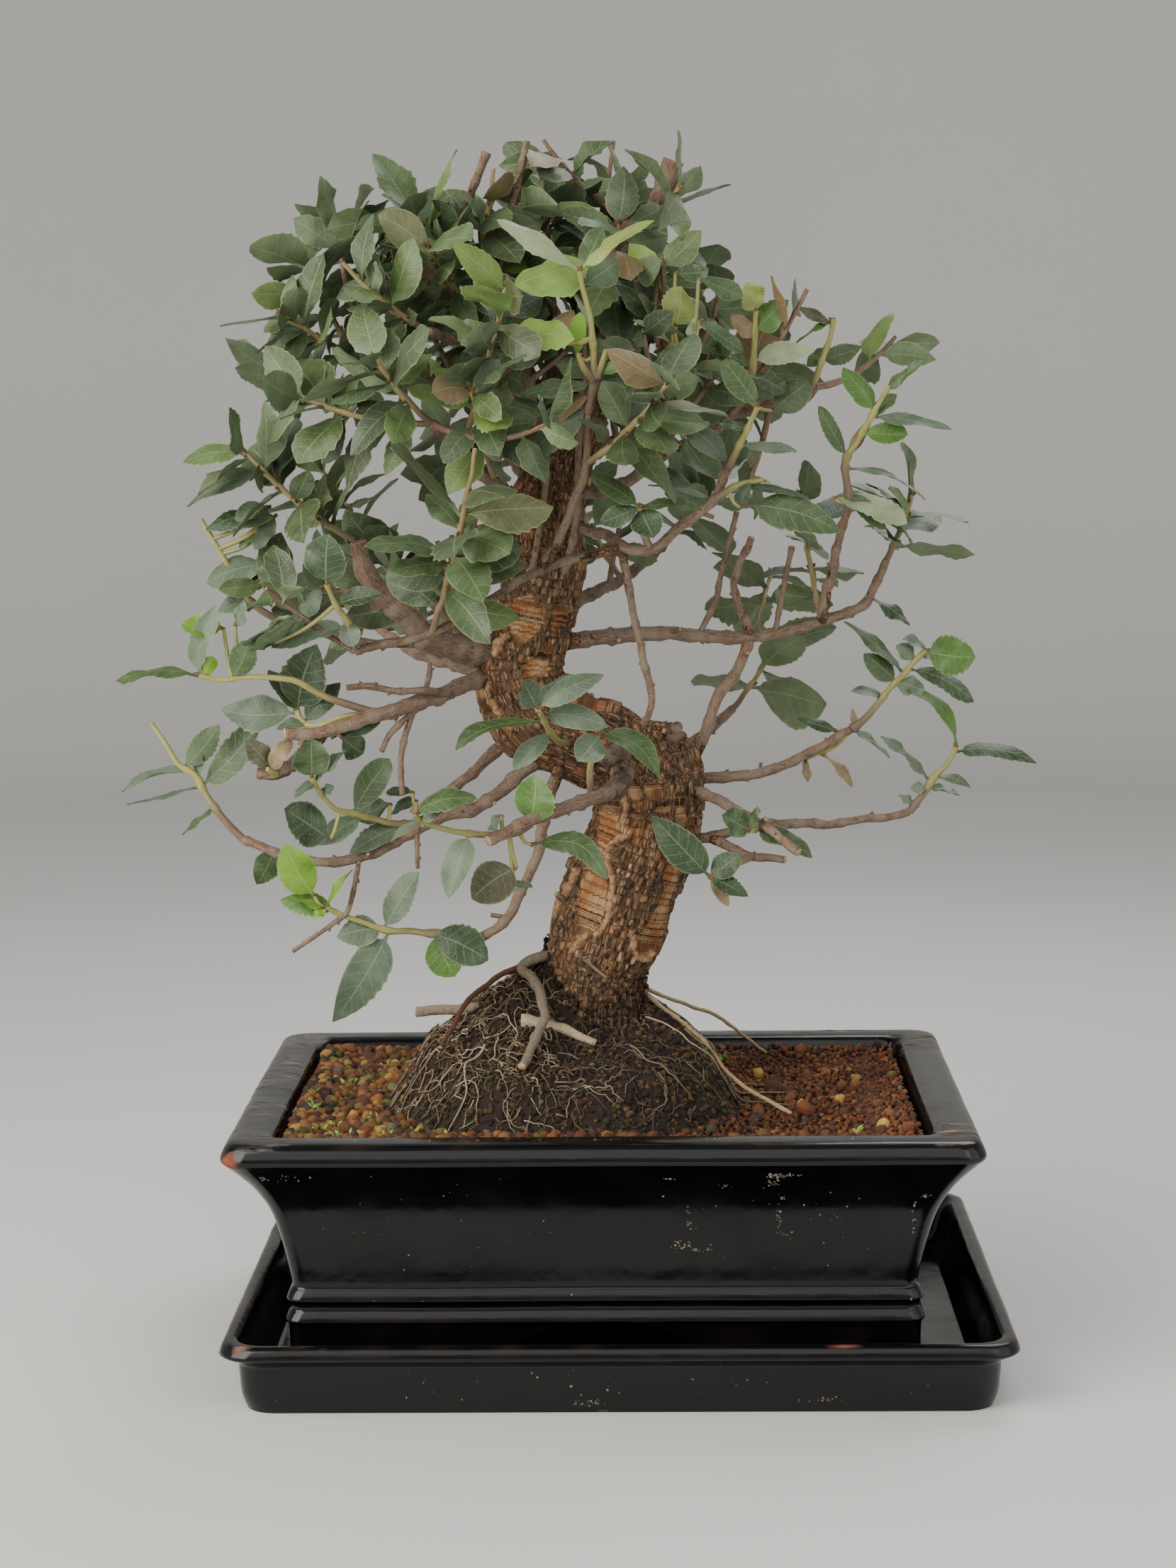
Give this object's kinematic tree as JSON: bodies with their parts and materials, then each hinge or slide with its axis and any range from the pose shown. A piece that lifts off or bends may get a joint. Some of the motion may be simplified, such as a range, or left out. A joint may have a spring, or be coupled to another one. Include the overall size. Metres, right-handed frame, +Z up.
{
  "type": "cork oak bonsai in a pot",
  "caption": "Cork oak bonsai with a bent trunk of fissured cork, spreading limbs and small toothed leaves, in a black glazed rectangular pot on its saucer.",
  "frame": {"origin": "centre of the saucer's flat underside", "axes": "+Z up; -Y is the side seen from the front; +X to the right seen from the front"},
  "size_m": [0.3125, 0.2234, 0.4352],
  "materials": {
    "black_glaze": "gloss",
    "cork_bark": "matte",
    "leaf": "satin",
    "akadama": "matte",
    "peat": "matte",
    "screen_plastic": "matte"
  },
  "bodies": {
    "root": {"saucer": "black_glaze", "pot": "black_glaze", "drainage_screen_left": "screen_plastic", "drainage_screen_right": "screen_plastic", "substrate": "akadama", "root_ball": "peat", "trunk": "cork_bark", "leafy_shoot_01": "leaf", "leafy_shoot_02": "leaf", "leafy_shoot_03": "leaf", "leafy_shoot_04": "leaf", "leafy_shoot_05": "leaf", "leafy_shoot_06": "leaf", "leafy_shoot_07": "leaf", "leafy_shoot_08": "leaf", "leafy_shoot_09": "leaf", "leafy_shoot_10": "leaf", "leafy_shoot_11": "leaf", "leafy_shoot_12": "leaf", "leafy_shoot_13": "leaf", "leafy_shoot_14": "leaf", "leafy_shoot_15": "leaf", "leafy_shoot_16": "leaf", "leafy_shoot_17": "leaf", "leafy_shoot_18": "leaf", "leafy_shoot_19": "leaf", "leafy_shoot_20": "leaf", "leafy_shoot_21": "leaf", "leafy_shoot_22": "leaf", "leafy_shoot_23": "leaf", "leafy_shoot_24": "leaf", "leafy_shoot_25": "leaf", "leafy_shoot_26": "leaf", "leafy_shoot_27": "leaf", "leafy_shoot_28": "leaf", "leafy_shoot_29": "leaf", "leafy_shoot_30": "leaf", "leafy_shoot_31": "leaf", "leafy_shoot_32": "leaf", "leafy_shoot_33": "leaf", "leafy_shoot_34": "leaf", "leafy_shoot_35": "leaf", "leafy_shoot_36": "leaf", "leafy_shoot_37": "leaf", "leafy_shoot_38": "leaf", "leafy_shoot_39": "leaf", "leafy_shoot_40": "leaf", "leafy_shoot_41": "leaf", "leafy_shoot_42": "leaf", "leafy_shoot_43": "leaf", "leafy_shoot_44": "leaf", "leafy_shoot_45": "leaf", "leafy_shoot_46": "leaf", "leafy_shoot_47": "leaf", "leafy_shoot_48": "leaf", "leafy_shoot_49": "leaf", "leafy_shoot_50": "leaf", "leafy_shoot_51": "leaf", "leafy_shoot_52": "leaf", "leafy_shoot_53": "leaf"}
  },
  "joints": []
}
